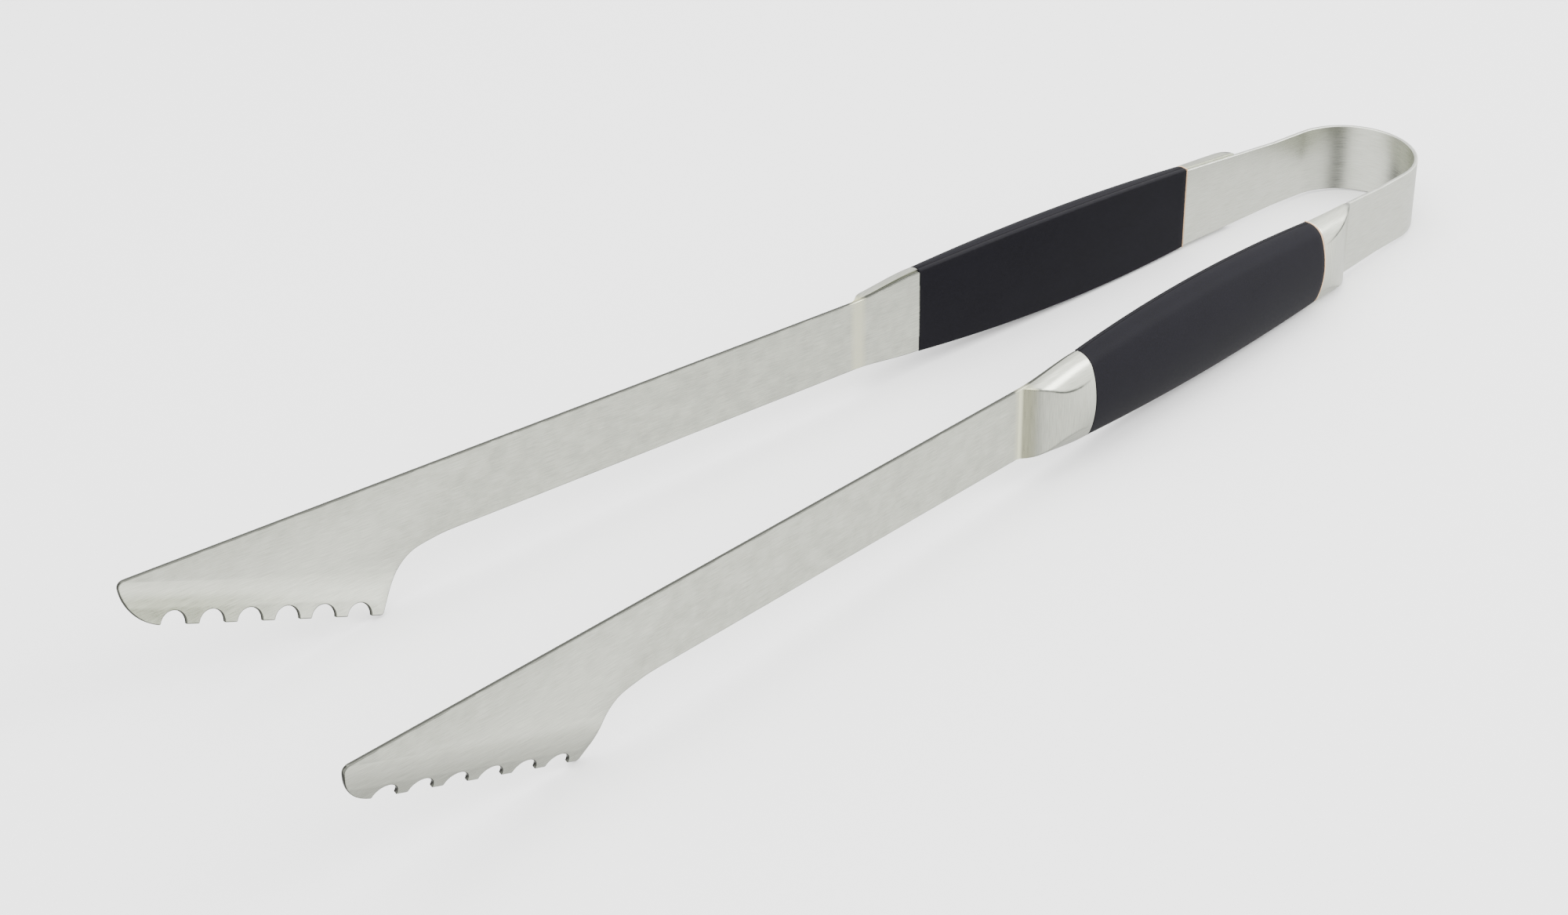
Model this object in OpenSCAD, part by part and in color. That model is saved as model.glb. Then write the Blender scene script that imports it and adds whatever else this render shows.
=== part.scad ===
// Spring loaded kitchen tongs.
// A U-shaped spring strip carries two arms. Each arm has a steel blade with a toothed jaw,
// a black grip in two halves, and a hollow steel bolster at each end of the grip.
// The blade's tang and the spring's tang lap inside the grip and are riveted together.
// The tongs lie on the two heel teeth and on the lower edge of the bow.
//
// Arm frame: X runs from the bow towards the jaw, Y points outwards from the gripping side,
// Z is across the strip. The flat inner side of the arm is Y = 0.

/* [Spring strip] */
// Inner radius of the bow at the tail
bow_r = 20.7; // [16:0.1:30]
// Width of the strip in the bow and the blades
strip_w = 23; // [19:0.5:28]
// Thickness of every strip
strip_t = 1.2; // [0.8:0.1:1.6]
// Angle between each arm and the middle plane at rest
splay = 4.1; // [2:0.1:8]
// Straight strip between the bow and the rear bolster
leg_len = 30.4; // [20:0.1:60]
// Straight strip before the leg starts to widen
leg_plain = 13; // [5:0.5:18]

/* [Grips] */
// Length of the black grip
grip_len = 110.8; // [90:0.1:150]
// Width of the grip at its middle
grip_w_mid = 32; // [28.4:0.1:40]
// Depth of the dome at the grip's middle
grip_d_mid = 10.2; // [9.4:0.1:14]
// Bulge of the grip's inner side towards the other arm
grip_bulge = 1.4; // [0:0.1:2]
// Thickness of the inner grip half
cover_t = 1.6; // [1.2:0.1:2]
// Wall of the outer grip half
grip_wall = 2; // [1.2:0.1:2.4]
// Thickness of each locating rib inside the outer grip half
rib_t = 2; // [1:0.1:4]
// Distance from the ends of the grip to the ribs
rib_inset = 11; // [8:0.5:14]

/* [Handle section at the seams] */
// Width of the handle where steel meets grip
seam_w = 28.2; // [27:0.1:28.4]
// Depth of the handle where steel meets grip
seam_d = 9.1; // [8.4:0.1:9.4]
// Radius of the handle's rounded shoulders
shoulder_r = 5.8; // [4.5:0.1:6]
// Level part of the handle's top and bottom
level_d = 1.8; // [1.7:0.1:2.2]
// Bevel along the edges of the inner grip half
edge_bevel = 0.6; // [0.2:0.1:1]

/* [Bolsters] */
// Length of the front bolster
front_bolster_len = 25.3; // [18:0.1:40]
// Length of the rear bolster
rear_bolster_len = 22; // [16:0.1:34]
// Width of the strip where it meets the grip
plate_w = 27.2; // [23.5:0.1:27.2]
// Width of the rear bolster at its toe
toe_w = 27.2; // [26:0.1:28]
// Corner radius of the rear bolster's toe
toe_r = 2.5; // [1:0.1:4]
// Wall of the bolsters
bolster_wall = 1.2; // [0.8:0.1:1.8]
// Steepness of the front bolster's ramp
front_steep = 4; // [1.5:0.1:5]
// Steepness of the rear bolster's ramp
rear_steep = 2.5; // [1.5:0.1:5]

/* [Jaws] */
// Plain blade between the front bolster and the heel's fillet
blade_len = 147.5; // [80:0.5:200]
// Fillet between the blade and the heel of the jaw
heel_r = 16; // [8:0.5:18]
// Distance from the start of the fillet to the heel tooth
heel_run = 20; // [18.5:0.1:26]
// Drop from the edge of the blade to the heel tooth
heel_drop = 17.3; // [12:0.1:22]
// Slope of the row of teeth
tooth_slope = 20.8; // [12:0.1:21.5]
// Number of scallops between the teeth
scallops = 6; // [3:1:6]
// Radius of each scallop
scallop_r = 3.8; // [2.5:0.05:4.8]
// Distance from one tooth to the next
tooth_pitch = 11.5; // [10.5:0.1:11.6]
// Width of the heel tooth
heel_land = 3.85; // [2:0.1:6]
// Distance from the last tooth to the tip
tip_reach = 8.8; // [6:0.1:12]
// Radius of the tip's upper corner
tip_corner_r = 2; // [1:0.1:4]
// Height of the lip that is bent inwards
lip_w = 9.4; // [6:0.1:10]
// Angle of the bent lip
lip_angle = 18; // [0:1:25]

/* [Tangs and rivets] */
// Width of the blade's tang
blade_tang_w = 18; // [12:0.5:20]
// Width of the spring's tang
bow_tang_w = 16; // [11:0.5:19]
// Depth of the blade's tang below the inner side
tang_depth = 2.3; // [2.1:0.1:2.6]
// Length over which the two tangs lap
lap_len = 66; // [50:1:72]
// Number of rivets in each handle
rivets = 3; // [2:1:4]
// Distance from one rivet to the next
rivet_pitch = 22; // [10:0.5:22]
// Radius of a rivet's shank
rivet_r = 2; // [1:0.1:3]
// Radius of a rivet's head
rivet_head_r = 3.6; // [3.2:0.1:5]
// Height of a rivet's head
rivet_head_h = 1; // [0.4:0.1:1.1]

/* [Fits] */
// Thickness of the spacer at the rear end of the grip
spacer_t = 0.5; // [0.3:0.1:1]
// Width of the spacer's rim
spacer_rim = 2; // [1:0.1:3]
// Gap between the two tangs
lap_gap = 0.1; // [0.05:0.05:0.2]
// Gap around a tang where it passes through the grip
slot_gap = 0.15; // [0.1:0.05:0.25]
// Lead of each tang's step ahead of the seam
step_lead = 0.8; // [0.5:0.1:1.2]
// Gap between a rivet and the hole in the spring's tang
rivet_gap = 0.2; // [0.05:0.05:0.3]

/* [Hidden] */

steel_colour = [0.78, 0.79, 0.75];
grip_colour = [0.09, 0.09, 0.10];
spacer_colour = [0.70, 0.55, 0.40];
rivet_colour = [0.70, 0.70, 0.72];

$fn = 96;
overlap = 0.01;                // by which parts of one rivet run into each other
past = 1;                      // how far a cut runs past a face
least_corner = 0.2;            // smallest corner radius of a hollow
bow_overlap = 2;               // degrees by which the bow's two halves overlap
shoulder_steps = 5;            // facets round each shoulder of the handle
dome_steps = 4;                // facets on each half of the handle's dome
joggle_corner = tan(22.5);     // shift of a 45 degree bend's corner per unit of offset
shoulder = min(shoulder_r, 0.85 * (seam_d - level_d)); // the dome needs some of the depth

// Stations along the arm, from the bow's tangent line
rear_toe = leg_len;
rear_seam = rear_toe + rear_bolster_len;
spacer_end = rear_seam + spacer_t;
front_seam = rear_seam + grip_len;
front_toe = front_seam + front_bolster_len;
heel_start = front_toe + blade_len;
grip_mid = (rear_seam + front_seam) / 2;

// Jaw corners in the flat pattern, as [along, across]
heel_tooth = [heel_start + heel_run, -strip_w / 2 - heel_drop];
row_len = heel_land + scallops * tooth_pitch - (tooth_pitch - 2 * scallop_r);
row_dir = [cos(tooth_slope), sin(tooth_slope)];
first_tooth = heel_tooth + row_len * row_dir;
tip = first_tooth[0] + tip_reach;
tip_corner = [tip - tip_corner_r, strip_w / 2 - tip_corner_r];
tip_drop = tip_corner[1] - first_tooth[1];
tip_r = (tip_reach * tip_reach + tip_drop * tip_drop) / (2 * tip_reach);
fillet_mid = [heel_start, -strip_w / 2 - heel_r];
fillet_gap = heel_tooth - fillet_mid;
fillet_end = atan2(fillet_gap[1], fillet_gap[0]) + acos(heel_r / norm(fillet_gap));
crease = heel_tooth + lip_w * [-row_dir[1], row_dir[0]];

// Tangs: the spring's tang lies outside the blade's tang
bow_tang_depth = tang_depth + strip_t + lap_gap;
lap_start = grip_mid - lap_len / 2;
lap_end = grip_mid + lap_len / 2;
rivet_first = grip_mid - (rivets - 1) * rivet_pitch / 2;

// The tongs are tilted until the heel teeth and the bow's lower edge are level
heel_fall = lip_w * cos(lip_angle) + strip_t / 2 * sin(lip_angle);
heel_in = lip_w * sin(lip_angle) - strip_t / 2 * cos(lip_angle) - strip_t / 2;
heel_low = crease + heel_fall * [row_dir[1], -row_dir[0]];
heel_x = -cos(splay) * heel_low[0] + sin(splay) * (bow_r - heel_in);
tail_x = bow_r + strip_t;
tilt = atan((-heel_low[1] - strip_w / 2) / (tail_x - heel_x));
rise = tail_x * sin(tilt) + strip_w / 2 * cos(tilt);
tip_x = -cos(tilt) * cos(splay) * (tip - tip_r) + sin(tilt) * tip_corner[1]
        + cos(tilt) * sin(splay) * bow_r - tip_r * norm([cos(tilt) * cos(splay), sin(tilt)]);
end_x = tail_x * cos(tilt) + strip_w / 2 * sin(tilt);
mid_x = (tip_x + end_x) / 2;

// Smooth step from 0 to 1
function ease(u) = let (v = min(max(u, 0), 1)) v * v * (3 - 2 * v);

// Points of an arc
function arc(mid, r, from, to, steps) =
    [for (i = [0 : steps]) let (a = from + (to - from) * i / steps) mid + r * [cos(a), sin(a)]];

// How far along the grip a station is, -1 at one end, 0 in the middle and 1 at the other end
function grip_u(a) = (a - grip_mid) / (grip_len / 2);
function crown(a) = 1 - grip_u(a) * grip_u(a);
function grip_half(a) = seam_w / 2 + (grip_w_mid - seam_w) / 2 * crown(a);
function grip_depth(a) = seam_d + (grip_d_mid - seam_d) * crown(a);
function grip_face(a) = -grip_bulge * crown(a);
function parting(a) = grip_face(a) + cover_t;

// Radius of the dome that is tangent to both shoulders
function dome_r(half, depth, r) =
    (pow(depth - level_d, 2) + pow(half - r, 2) - r * r) / (2 * (depth - level_d - r));
// Height at which the dome meets the shoulder
function meet_z(half, depth, r) =
    let (big = dome_r(half, depth, r)) (half - r) * big / (big - r);
// Upper half of the handle's cross-section, from its flat back to the crown of the dome
function upper_section(back, half, depth, r) =
    let (big = dome_r(half, depth, r), turn = asin(meet_z(half, depth, r) / big))
    concat([[back, half]],
           arc([level_d, half - r], r, 90, turn, shoulder_steps),
           arc([depth - big, 0], big, turn * (dome_steps - 1) / dome_steps, 0, dome_steps - 1));
function mirrored_section(upper) =
    concat(upper, [for (i = [len(upper) - 2 : -1 : 0]) [upper[i][0], -upper[i][1]]]);

// Half width of the strip and of the front bolster, which widen smoothly towards the grip
function blade_half(a) = strip_w / 2 + (plate_w - strip_w) / 2 * ease((front_toe - a) / front_bolster_len);
function front_half(a) = strip_w / 2 + (seam_w - strip_w) / 2 * ease((front_toe - a) / front_bolster_len);

// Places the right arm
module right_side() {
    rotate([0, 0, 180 + splay]) translate([0, bow_r, 0]) children();
}

// Puts a piece of both arms where the tongs lie
module lay_down() {
    translate([-mid_x, 0, rise]) rotate([0, tilt, 0]) children();
}

module right_arm() {
    lay_down() right_side() children();
}

module left_arm() {
    lay_down() mirror([0, 1, 0]) right_side() children();
}

// Extrudes an elevation, drawn as [along, across], outwards from depth b0
module plate(b0, thick) {
    rotate([90, 0, 0]) translate([0, 0, -(b0 + thick)]) linear_extrude(thick) children();
}

// Extrudes a cross-section, drawn as [out, across], along the arm
module along_arm(from, to) {
    translate([from, 0, 0]) rotate([90, 0, 90]) linear_extrude(to - from) children();
}

// Extrudes a plan, drawn as [along, out], across the arm
module across_arm(half) {
    translate([0, 0, -half]) linear_extrude(2 * half) children();
}

// A closed solid through rings of points
module loft(rings) {
    n = len(rings[0]);
    last = len(rings) - 1;
    polyhedron(
        points = [for (ring = rings) each ring],
        faces = concat(
            [[for (j = [0 : n - 1]) j]],
            [for (i = [0 : last - 1]) for (j = [0 : n - 1]) let (k = (j + 1) % n)
                [i * n + j, (i + 1) * n + j, i * n + k]],
            [for (i = [0 : last - 1]) for (j = [0 : n - 1]) let (k = (j + 1) % n)
                [i * n + k, (i + 1) * n + j, (i + 1) * n + k]],
            [[for (j = [n - 1 : -1 : 0]) last * n + j]]));
}

// The handle's D-shaped cross-section, drawn as [out, across]
module handle_section(half, depth, r) {
    polygon(mirrored_section(upper_section(0, half, depth, r)));
}

// Plan of a strip that steps outwards by depth and then runs on; grow thickens it on every side
module step_plan(depth, run, grow) {
    low = -grow;
    high = strip_t + grow;
    far = run + grow;
    polygon([
        [-2 * strip_t, low], [-joggle_corner * low, low], [depth - joggle_corner * low, depth + low],
        [far, depth + low], [far, depth + high], [depth - joggle_corner * high, depth + high],
        [-joggle_corner * high, high], [-2 * strip_t, high]]);
}

// The blade's tang runs back from the front seam, the spring's tang runs forward from the rear seam
module blade_tang(grow = 0) {
    start = front_seam + step_lead;
    across_arm(blade_tang_w / 2 + grow) translate([start, 0]) mirror([1, 0])
        step_plan(tang_depth, start - lap_start, grow);
}

module bow_tang(grow = 0) {
    start = rear_seam - step_lead;
    across_arm(bow_tang_w / 2 + grow) translate([start, 0])
        step_plan(bow_tang_depth, lap_end - start, grow);
}

module rivet_holes(r) {
    for (i = [0 : rivets - 1]) translate([rivet_first + i * rivet_pitch, 0, 0])
        rotate([-90, 0, 0]) cylinder(r = r, h = seam_d);
}

// ---- Spring ----

module bow_leg() {
    plate(0, strip_t) polygon([
        [0, -strip_w / 2], [leg_plain, -strip_w / 2], [rear_seam, -plate_w / 2],
        [rear_seam, plate_w / 2], [leg_plain, strip_w / 2], [0, strip_w / 2]]);
    difference() {
        bow_tang();
        rivet_holes(rivet_r + rivet_gap);
    }
}

// One half of the round bow, from its leg to just past the middle plane
module half_bow() {
    translate([0, -bow_r, 0]) rotate([0, 0, 90]) rotate_extrude(angle = 90 - splay + bow_overlap)
        translate([bow_r, -strip_w / 2]) square([strip_t, strip_w]);
}

module spring_bow() {
    color(steel_colour) lay_down() {
        right_side() {
            bow_leg();
            half_bow();
        }
        mirror([0, 1, 0]) right_side() {
            bow_leg();
            half_bow();
        }
    }
}

// ---- Blade with its toothed jaw ----

module blade_pattern() {
    steps = 14;
    wide = [for (i = [0 : steps]) front_seam + front_bolster_len * i / steps];
    difference() {
        polygon(concat(
            [for (i = [0 : steps]) [wide[i], -blade_half(wide[i])]],
            arc(fillet_mid, heel_r, 90, fillet_end, 12),
            [heel_tooth],
            arc([tip - tip_r, tip_corner[1]], tip_r, -acos(1 - tip_reach / tip_r), 0, 12),
            arc(tip_corner, tip_corner_r, 0, 90, 6),
            [for (i = [steps : -1 : 0]) [wide[i], blade_half(wide[i])]]));
        for (i = [0 : scallops - 1])
            translate(heel_tooth + (heel_land + scallop_r + i * tooth_pitch) * row_dir)
                circle(scallop_r);
    }
}

// Everything below the crease, drawn as [along, across]
module below_crease() {
    reach = row_len + heel_run + tip_reach;
    translate(crease) rotate(tooth_slope) translate([-heel_run, -2 * lip_w])
        square([reach + heel_run, 2 * lip_w]);
}

// Round bar along the crease, which fills the outside of the bend
module crease_bar() {
    translate([crease[0], strip_t / 2, crease[1]]) rotate([0, -tooth_slope, 0])
        rotate([0, 90, 0]) translate([0, 0, -heel_run]) cylinder(d = strip_t, h = row_len + 2 * heel_run);
}

module blade() {
    plate(0, strip_t) difference() {
        blade_pattern();
        below_crease();
    }
    translate([crease[0], strip_t / 2, crease[1]])
        rotate([0, -tooth_slope, 0]) rotate([-lip_angle, 0, 0]) rotate([0, tooth_slope, 0])
            translate([-crease[0], -strip_t / 2, -crease[1]])
                plate(0, strip_t) intersection() {
                    blade_pattern();
                    below_crease();
                }
    intersection() {
        crease_bar();
        plate(0, strip_t) blade_pattern();
    }
    difference() {
        blade_tang();
        rivet_holes(rivet_r);
    }
}

module right_blade() { color(steel_colour) right_arm() blade(); }
module left_blade() { color(steel_colour) left_arm() blade(); }

// ---- Bolsters ----

// Plan of a bolster: a ramp from the strip at the toe up to the full depth at the seam
module ramp_plan(toe, seam, steep, inset) {
    steps = 12;
    run = seam - toe;
    rise_out = seam_d - strip_t;
    polygon(concat(
        [[toe, 0]],
        [for (i = [0 : steps]) let (u = i / steps)
            [toe + run * u, strip_t - inset + rise_out * (1 - pow(1 - u, steep))]],
        [[seam + sign(run) * (inset > 0 ? past : 0), seam_d - inset],
         [seam + sign(run) * (inset > 0 ? past : 0), 0]]));
}

module bolster_body(toe, seam, steep, inset) {
    over = inset > 0 ? past : 0;
    intersection() {
        along_arm(min(toe, seam) - over, max(toe, seam) + over)
            handle_section(seam_w / 2 - inset, seam_d - inset, shoulder - inset);
        across_arm(seam_w) ramp_plan(toe, seam, steep, inset);
        plate(strip_t - over, seam_d) children();
    }
}

module front_outline(inset) {
    steps = 14;
    over = inset > 0 ? past : 0;
    polygon(concat(
        [[front_seam - over, -front_half(front_seam) + inset]],
        [for (i = [0 : steps]) let (a = front_seam + front_bolster_len * i / steps)
            [a, -front_half(a) + inset]],
        [for (i = [steps : -1 : 0]) let (a = front_seam + front_bolster_len * i / steps)
            [a, front_half(a) - inset]],
        [[front_seam - over, front_half(front_seam) - inset]]));
}

module rear_outline(inset) {
    over = inset > 0 ? past : 0;
    r = max(toe_r - inset, least_corner);
    corner = [rear_toe + inset + r, toe_w / 2 - inset - r];
    polygon(concat(
        [[rear_seam + over, -seam_w / 2 + inset], [rear_seam + over, seam_w / 2 - inset]],
        arc(corner, r, 90, 180, 8),
        arc([corner[0], -corner[1]], r, 180, 270, 8)));
}

module front_bolster() {
    difference() {
        bolster_body(front_toe, front_seam, front_steep, 0) front_outline(0);
        bolster_body(front_toe, front_seam, front_steep, bolster_wall) front_outline(bolster_wall);
    }
}

module rear_bolster() {
    difference() {
        bolster_body(rear_toe, rear_seam, rear_steep, 0) rear_outline(0);
        bolster_body(rear_toe, rear_seam, rear_steep, bolster_wall) rear_outline(bolster_wall);
    }
}

module right_front_bolster() { color(steel_colour) right_arm() front_bolster(); }
module left_front_bolster() { color(steel_colour) left_arm() front_bolster(); }
module right_rear_bolster() { color(steel_colour) right_arm() rear_bolster(); }
module left_rear_bolster() { color(steel_colour) left_arm() rear_bolster(); }

// ---- Grips ----

// Ring of the outer grip half at one station; inset draws the hollow inside it
function shell_ring(a, inset) =
    let (back = parting(a) - (inset > 0 ? past : 0),
         upper = upper_section(back, grip_half(a) - inset, grip_depth(a) - inset, shoulder - inset))
    [for (p = mirrored_section(upper)) [a, p[0], p[1]]];

module grip_solid(from, to, inset, steps) {
    loft([for (i = [steps : -1 : 0]) shell_ring(from + (to - from) * i / steps, inset)]);
}

module grip_outer() {
    rear_rib = rear_seam + rib_inset;
    front_rib = front_seam - rib_inset;
    difference() {
        grip_solid(spacer_end, front_seam, 0, 12);
        grip_solid(spacer_end - past, rear_rib, grip_wall, 2);
        grip_solid(rear_rib + rib_t, front_rib - rib_t, grip_wall, 8);
        grip_solid(front_rib, front_seam + past, grip_wall, 2);
        blade_tang(slot_gap);
        bow_tang(slot_gap);
    }
}

function cover_ring(a) =
    let (face = grip_face(a), half = grip_half(a))
    [[a, face, -half + edge_bevel], [a, face, half - edge_bevel], [a, face + edge_bevel, half],
     [a, face + cover_t, half], [a, face + cover_t, -half], [a, face + edge_bevel, -half]];

module grip_inner() {
    steps = 12;
    difference() {
        loft([for (i = [steps : -1 : 0]) cover_ring(spacer_end + (front_seam - spacer_end) * i / steps)]);
        blade_tang(slot_gap);
        bow_tang(slot_gap);
    }
}

module right_grip_outer() { color(grip_colour) right_arm() grip_outer(); }
module left_grip_outer() { color(grip_colour) left_arm() grip_outer(); }
module right_grip_inner() { color(grip_colour) right_arm() grip_inner(); }
module left_grip_inner() { color(grip_colour) left_arm() grip_inner(); }

// Thin spacer between the rear bolster and the grip
module grip_spacer() {
    difference() {
        along_arm(rear_seam, spacer_end) difference() {
            intersection() {
                handle_section(seam_w / 2, seam_d, shoulder);
                translate([0, -seam_w]) square([seam_d + past, 2 * seam_w]);
            }
            intersection() {
                handle_section(seam_w / 2 - spacer_rim, seam_d - spacer_rim, shoulder - spacer_rim);
                translate([spacer_rim, -seam_w]) square([seam_d, 2 * seam_w]);
            }
        }
        bow_tang(slot_gap);
    }
}

module right_grip_spacer() { color(spacer_colour) right_arm() grip_spacer(); }
module left_grip_spacer() { color(spacer_colour) left_arm() grip_spacer(); }

// ---- Rivets ----

module rivet() {
    inner_side = tang_depth;
    outer_side = bow_tang_depth + strip_t + lap_gap;
    rotate([-90, 0, 0]) {
        translate([0, 0, inner_side - overlap])
            cylinder(r = rivet_r, h = outer_side - inner_side + 2 * overlap);
        translate([0, 0, inner_side - rivet_head_h])
            cylinder(r1 = rivet_head_r - rivet_head_h / 2, r2 = rivet_head_r, h = rivet_head_h);
        translate([0, 0, outer_side])
            cylinder(r1 = rivet_head_r, r2 = rivet_head_r - rivet_head_h / 2, h = rivet_head_h);
    }
}

module tang_rivets() {
    for (i = [0 : rivets - 1]) translate([rivet_first + i * rivet_pitch, 0, 0]) rivet();
}

module right_tang_rivets() { color(rivet_colour) right_arm() tang_rivets(); }
module left_tang_rivets() { color(rivet_colour) left_arm() tang_rivets(); }

spring_bow();
left_blade();
right_blade();
left_front_bolster();
right_front_bolster();
left_rear_bolster();
right_rear_bolster();
left_grip_outer();
right_grip_outer();
left_grip_inner();
right_grip_inner();
left_grip_spacer();
right_grip_spacer();
left_tang_rivets();
right_tang_rivets();
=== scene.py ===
# %% [markdown]
# # Spring loaded kitchen tongs
# The tongs are one springy steel strip bent into a bow, with an arm riveted to each end.
# Every arm has a blade with a toothed jaw, a black grip in two halves, a hollow steel bolster
# at each end of the grip and a thin tan spacer. The CAD model is loaded first. It gives each
# body its place and its motion, and the pieces made here are fitted over it.

# %% Load the frame
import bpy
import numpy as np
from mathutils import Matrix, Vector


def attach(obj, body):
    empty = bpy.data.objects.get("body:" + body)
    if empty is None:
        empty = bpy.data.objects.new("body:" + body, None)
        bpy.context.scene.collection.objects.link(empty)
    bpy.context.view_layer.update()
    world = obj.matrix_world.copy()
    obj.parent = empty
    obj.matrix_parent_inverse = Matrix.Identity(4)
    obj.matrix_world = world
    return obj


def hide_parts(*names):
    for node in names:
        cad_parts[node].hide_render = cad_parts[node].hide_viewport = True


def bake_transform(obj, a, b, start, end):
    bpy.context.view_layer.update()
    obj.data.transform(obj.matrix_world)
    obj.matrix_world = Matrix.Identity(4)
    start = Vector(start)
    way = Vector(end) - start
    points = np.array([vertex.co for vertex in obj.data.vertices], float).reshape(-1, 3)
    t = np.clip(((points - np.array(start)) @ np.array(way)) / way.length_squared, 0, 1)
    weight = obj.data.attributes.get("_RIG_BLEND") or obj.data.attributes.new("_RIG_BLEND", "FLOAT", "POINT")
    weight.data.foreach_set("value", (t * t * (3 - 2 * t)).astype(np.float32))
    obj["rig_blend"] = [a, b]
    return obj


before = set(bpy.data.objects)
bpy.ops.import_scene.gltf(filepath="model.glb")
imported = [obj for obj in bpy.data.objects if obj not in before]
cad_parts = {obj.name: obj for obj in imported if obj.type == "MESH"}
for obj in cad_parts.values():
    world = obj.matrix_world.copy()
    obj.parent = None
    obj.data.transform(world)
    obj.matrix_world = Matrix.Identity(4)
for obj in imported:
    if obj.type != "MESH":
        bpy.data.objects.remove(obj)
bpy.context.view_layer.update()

# %% [markdown]
# Both arms are the same piece, mirrored. It is easiest to draw an arm along one straight line,
# so each point is given as how far along the arm it lies (a), how far outwards (b) and how far
# up across the strip (z), in millimetres. One small function turns that into the place on the
# splayed arm, and one matrix lays the finished tongs on their teeth and on the bow's lower edge.

# %% Arm coordinates
import math
import bmesh
import bpy
import numpy as np
from mathutils import Matrix, Quaternion, Vector

SPLAY = math.radians(4.1)        # angle of each arm from the middle plane
TILT = math.radians(2.5985184)   # nose-down tilt of the tongs at rest
BOW_R = 20.7                     # inner radius of the bow
STRIP_T = 1.2                    # thickness of every strip
STRIP_HALF = 11.5                # half the width of the plain strip
ROOT_HALF = 13.6                 # half the width of the strips where they enter the handle
LEG_START = 13                   # where the spring's legs start to widen
REAR_TOE, REAR_SEAM, FRONT_SEAM, FRONT_TOE = 30.4, 52.4, 163.2, 188.5
SPACER_END = 52.9
lay_down = (Matrix.Scale(0.001, 4) @ Matrix.Translation((201.712546, 0, 12.481059))
            @ Matrix.Rotation(TILT, 4, "Y"))


def on_arm(side, a, b, z):
    """Points of an arm in the upright model, in millimetres."""
    a, b, z = np.broadcast_arrays(np.asarray(a, float), b, z)
    out = BOW_R + b
    x = -math.cos(SPLAY) * a + math.sin(SPLAY) * out
    y = -(math.sin(SPLAY) * a + math.cos(SPLAY) * out)
    return np.stack([x, y if side == "right" else -y, z], -1).reshape(-1, 3)


TIP_A = 429.26
tip_mm = lay_down @ Vector(on_arm("right", TIP_A, 0, 0)[0])

# %% [markdown]
# A mesh is a list of points and a list of faces. This helper makes one from rings of points, one
# ring after another along the piece, and closes both ends. Every point also carries a UV, here
# simply the distance along and across the arm in metres, so that brushing follows the metal. Doubled
# points are merged and the normals are turned outwards, because the left arm is a mirror image.

# %% Mesh helpers
pieces_made = {}


def finish_mesh(name, mesh, body=None, replaces=(), sharp=40, rim=None, crisp=False):
    """Merge, close and turn a mesh outwards, lay it down, and make it a piece of the tongs.

    Faces whose edge mask stays under rim are the flats of a strip: their shading is kept apart
    from the rounded rim, so that they look flat. Crisp flats are shaded without any smoothing."""
    bm = bmesh.new()
    bm.from_mesh(mesh)
    bmesh.ops.remove_doubles(bm, verts=bm.verts, dist=0.0005)
    bmesh.ops.dissolve_degenerate(bm, edges=bm.edges, dist=0.0004)
    bmesh.ops.recalc_face_normals(bm, faces=bm.faces)
    open_edges = sum(1 for e in bm.edges if len(e.link_faces) != 2)
    if bm.calc_volume(signed=True) < 0:
        bmesh.ops.reverse_faces(bm, faces=bm.faces)
    for f in bm.faces:
        f.smooth = True
    if rim is not None:
        mask = bm.verts.layers.float["edge"]
        flats = {f for f in bm.faces if max(v[mask] for v in f.verts) <= rim}
        for e in bm.edges:
            if len(flats.intersection(e.link_faces)) == 1:
                e.smooth = False
        if crisp:
            for f in flats:
                f.smooth = False
    for e in bm.edges:
        if len(e.link_faces) == 2 and e.calc_face_angle(0) > math.radians(sharp):
            e.smooth = False
    bm.to_mesh(mesh)
    bm.free()
    mesh.transform(lay_down)
    obj = bpy.data.objects.new(name, mesh)
    bpy.context.scene.collection.objects.link(obj)
    if body:
        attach(obj, body)
    if replaces:
        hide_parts(*replaces)
    pieces_made[name] = obj
    print(f"{name}: {len(mesh.vertices)} points, {len(mesh.polygons)} faces, {open_edges} open edges")
    return obj


def mesh_of(name, points, faces, uv, masks=None):
    """A mesh with a UV and any number of masks on its points."""
    mesh = bpy.data.meshes.new(name)
    mesh.from_pydata([tuple(p) for p in points], [], faces)
    layer = mesh.uv_layers.new(name="strip")
    corner = np.zeros(len(mesh.loops), np.int32)
    mesh.loops.foreach_get("vertex_index", corner)
    layer.data.foreach_set("uv", np.asarray(uv, np.float32)[corner].ravel())
    for key, values in (masks or {}).items():
        layer = mesh.attributes.new(key, "FLOAT", "POINT")
        layer.data.foreach_set("value", np.asarray(values, np.float32))
    return mesh


def loft(name, side, rings, masks=None):
    """A closed solid through rings of (a, b, z, across) rows, all of one length."""
    rings = [np.asarray(r, float) for r in rings]
    n, flat = len(rings[0]), np.concatenate(rings)
    faces = [[i * n + j, i * n + (j + 1) % n, (i + 1) * n + (j + 1) % n, (i + 1) * n + j]
             for i in range(len(rings) - 1) for j in range(n)]
    faces += [list(range(n))[::-1], [(len(rings) - 1) * n + j for j in range(n)]]
    points = on_arm(side, flat[:, 0], flat[:, 1], flat[:, 2])
    uv = np.stack([flat[:, 0], flat[:, 3]], -1) * 0.001
    return mesh_of(name, points, faces, uv, masks)


# %% [markdown]
# The handle's cross-section is a letter D: a flat back, a short level side, a round shoulder and
# a shallow dome. The dome's radius is worked out so that it meets both shoulders without a kink.
# The same section serves the bolsters, the spacer and the grip, so they line up at the seams.

# %% The handle's section
SEAM_HALF, SEAM_D, SHOULDER, LEVEL = 14.1, 9.1, 5.8, 1.8


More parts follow.
